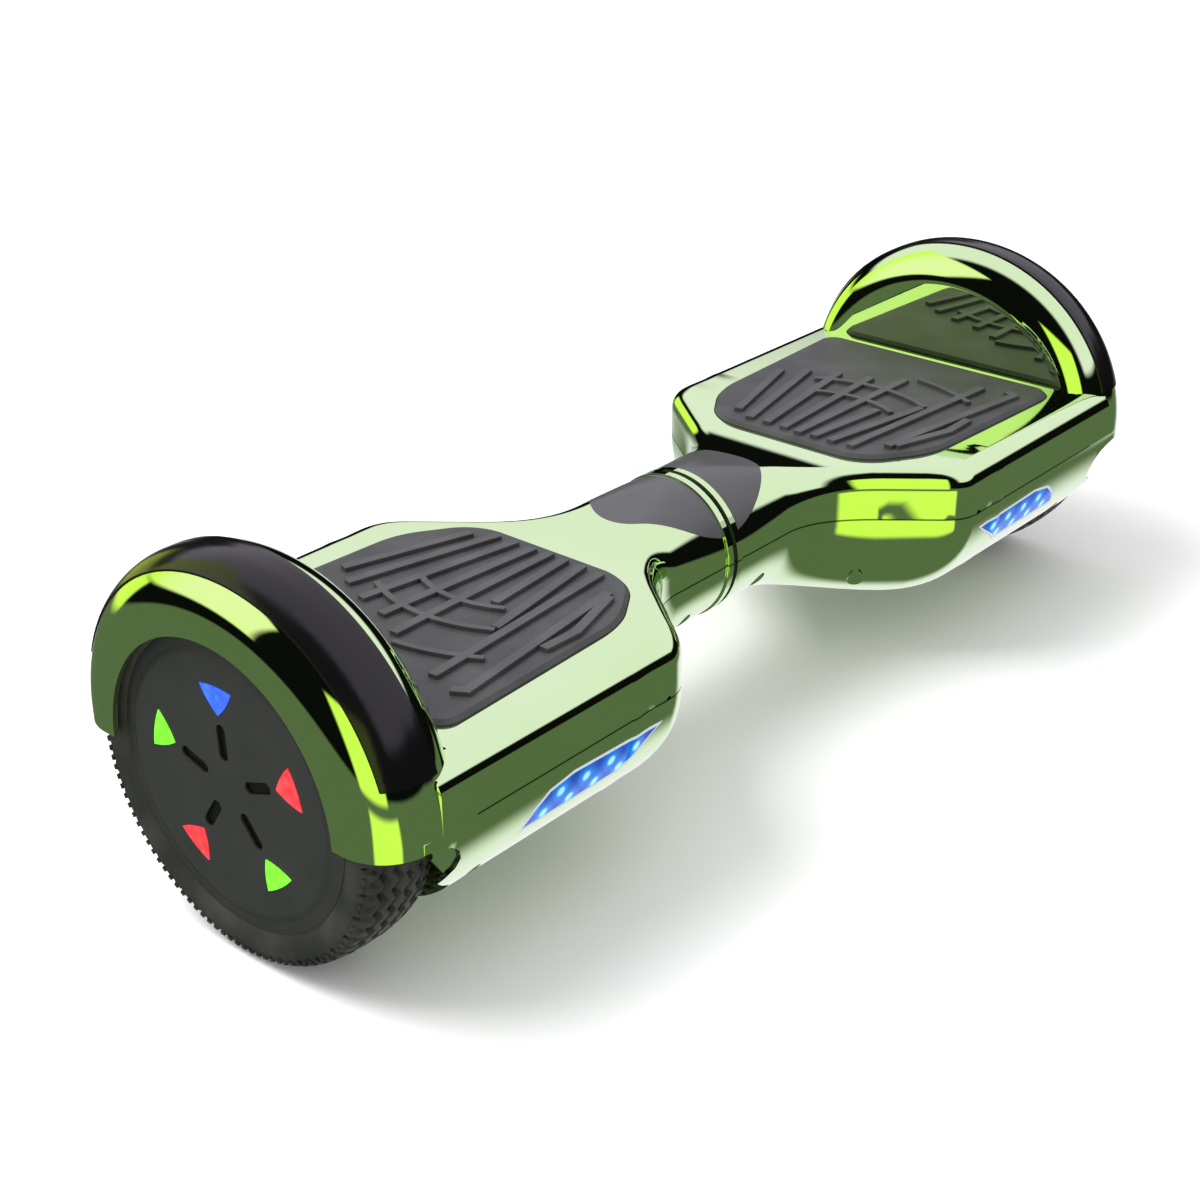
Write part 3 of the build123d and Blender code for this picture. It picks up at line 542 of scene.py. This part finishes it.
copper = Finish("wound_copper", (0.45, 0.20, 0.09), Metallic=1.0)
windings = {"Vector": copper.place(), "Scale": 420.0}
wires = copper.add("ShaderNodeTexWave", {"bands_direction": "X"}, windings)
copper.feed("Base Color", copper.mix(wires, (0.30, 0.11, 0.05), (0.62, 0.30, 0.13)))
copper.feed("Roughness", 0.25 + 0.2 * wires)
copper.bump(wires, 0.3, 0.0003)
paint(copper, *both("stator"))

# Electrics: green circuit boards, the battery in its blue sleeve, black leads, and the charging socket
# with its rubber cap at the rear of the right half.
board = Finish("circuit_board", (0.02, 0.16, 0.07), IOR=1.5)
tracks = {"Vector": board.place(), "Scale": 160.0, "Color1": (0.016, 0.13, 0.055, 1),
          "Color2": (0.022, 0.17, 0.075, 1), "Mortar": (0.10, 0.30, 0.16, 1)}
board.feed("Base Color", board.add("ShaderNodeTexBrick", values=tracks))
board.feed("Roughness", 0.28 + 0.15 * board.noise(90, 3))
paint(board, *both("lamp_board", "sensor_board"), "main_board")

sleeve = Finish("battery_sleeve", (0.03, 0.12, 0.45), IOR=1.5)
crease = sleeve.noise(60, 4)
sleeve.feed("Base Color", sleeve.mix(crease, (0.02, 0.09, 0.38), (0.04, 0.15, 0.52)))
sleeve.feed("Roughness", 0.25 + 0.2 * crease)
sleeve.bump(crease, 0.3, 0.001)
paint(sleeve, "battery_pack")

bush = Finish("bush_plastic", (0.7, 0.7, 0.64), IOR=1.5)
bush.feed("Base Color", bush.mix(bush.noise(80, 3), (0.62, 0.62, 0.56), (0.74, 0.74, 0.68)))
bush.feed("Roughness", 0.4 + 0.15 * bush.noise(200, 2))
paint(bush, "pivot_bushes")

seal = Finish("black_rubber", (0.015, 0.015, 0.016), IOR=1.5)
matt = seal.noise(120, 4)
seal.feed("Base Color", seal.mix(matt, (0.012, 0.012, 0.013), (0.028, 0.028, 0.030)))
seal.feed("Roughness", 0.5 + 0.2 * matt)
seal.bump(seal.noise(1100, 3), 0.12, 0.0003)
paint(seal, "joint_seal", "cross_harness", "motor_lead_right", "charge_cap", "charge_port",
      "button_housing")

# Studio: a white floor in white surroundings, one large soft light from high behind the left half, and
# for the mirror finish lime soft boxes and a pale sky with black gaps between them.
scene = bpy.context.scene
scene.view_settings.view_transform = "Standard"
floor = new_piece("floor", bpy.data.meshes.new("floor"))
worked(floor.data, lambda build: bmesh.ops.create_grid(build, x_segments=1, y_segments=1, size=30))
matt_white = Finish("floor_white", (0.9, 0.9, 0.9), Roughness=0.9, Specular_IOR_Level=0.0)
floor.data.materials.append(matt_white.made)
floor.visible_glossy = False

key_light = bpy.data.lights.new("key", "AREA")
key_light.shape, key_light.size, key_light.energy = "SQUARE", 1.6, 70
key = new_piece("key", key_light)
key.location = (-1.2, 1.2, 2.4)
key.rotation_mode = "QUATERNION"
key.rotation_quaternion = (-key.location).to_track_quat("-Z", "Y")
key.visible_glossy = False

world = bpy.data.worlds.new("studio")
world.use_nodes = True
scene.world = world


class Surround(Finish):
    """The studio that the mirror finish shows: soft boxes and a sky over a dark green ground."""

    def __init__(self, world):
        self.nodes, self.links = world.node_tree.nodes, world.node_tree.links
        self.way = self.add("ShaderNodeTexCoord", out=0)

    def toward(self, aim):
        aim = Vector(aim).normalized()
        return self.add("ShaderNodeVectorMath", {"operation": "DOT_PRODUCT"}, {0: self.way, 1: aim}, out=1)

    def card(self, aim, wide, tall, soft):
        """1 inside a rectangular card around a direction, 0 outside; the sizes are in degrees."""
        aim = Vector(aim).normalized()
        sideways = aim.cross(Vector((0, 0, 1))).normalized()
        upward = sideways.cross(aim)
        ahead = self.toward(aim).rises(0.0, 0.05)
        near = self.toward(aim).sum("MAXIMUM", self.toward(aim), 0.05)
        u, v = self.toward(sideways) / near, self.toward(upward) / near
        w, h, s = (math.tan(math.radians(a / 2)) for a in (wide, tall, soft * 2))
        return u.size().falls(w - s, w + s) * v.size().falls(h - s, h + s) * ahead


studio = Surround(world)
level = studio.toward((0, 0, 1))
black_gap = (0.004, 0.004, 0.004)
ahead = studio.toward((1, 0, 0)).rises(-0.30, -0.12)
sky = studio.mix(level.rises(0.26, 0.36) * ahead, black_gap, (1.02, 0.95, 1.10))
low_card = studio.toward((0.67, 0.35, -0.65)).rises(0.72, 0.95)
ground_tone = studio.mix(low_card, (0.125, 0.165, 0.095), (1.00, 0.95, 1.08))
seen = studio.mix(level.rises(-0.16, -0.10), ground_tone, black_gap)
seen = studio.mix(level.rises(0.15, 0.2), seen, sky)
lime = (0.90, 1.14, 0.17)
paler = studio.toward((-0.60, 0.62, 0.50)).rises(0.75, 1.0)
pale_lime = studio.mix(paler, lime, (1.15, 1.10, 0.75))
for aim, wide, tall, tone in (((-0.797, -0.579, 0.174), 40, 42, lime),
                              ((-0.43, 0.74, 0.52), 62, 46, pale_lime),
                              ((0.09, 0.99, -0.03), 36, 18, lime),
                              ((-0.62, -0.62, -0.46), 44, 20, lime)):
    seen = studio.mix(studio.card(aim, wide, tall, 2.5), seen, tone)
path = studio.add("ShaderNodeLightPath")
mirrored = Wire(studio, path.socket.node.outputs["Is Glossy Ray"])
tone = studio.mix(mirrored, WHITE, seen)
back = studio.nodes["Background"]
studio.links.new(tone.socket, back.inputs["Color"])
back.inputs["Strength"].default_value = 1.0

# Camera: a long lens in front of the left wheel, looking down and across the board to the far fender,
# turned a little about its own axis so that the wheels stand as they should.
eye = bpy.data.cameras.new("camera")
eye.lens, eye.sensor_width = 60.47, 36.0
eye.clip_start, eye.clip_end = 0.01, 100
camera = new_piece("camera", eye)
azimuth, elevation, roll = (math.radians(a) for a in (-49.27, 26.59, -0.42))
level_part = math.cos(elevation)
away = Vector((math.sin(azimuth) * level_part, -math.cos(azimuth) * level_part, math.sin(elevation)))
camera.location = (-0.7107, -0.5621, 0.5094)
camera.rotation_mode = "QUATERNION"
camera.rotation_quaternion = (-away).to_track_quat("-Z", "Y") @ Quaternion((0, 0, 1), roll)
scene.camera = camera
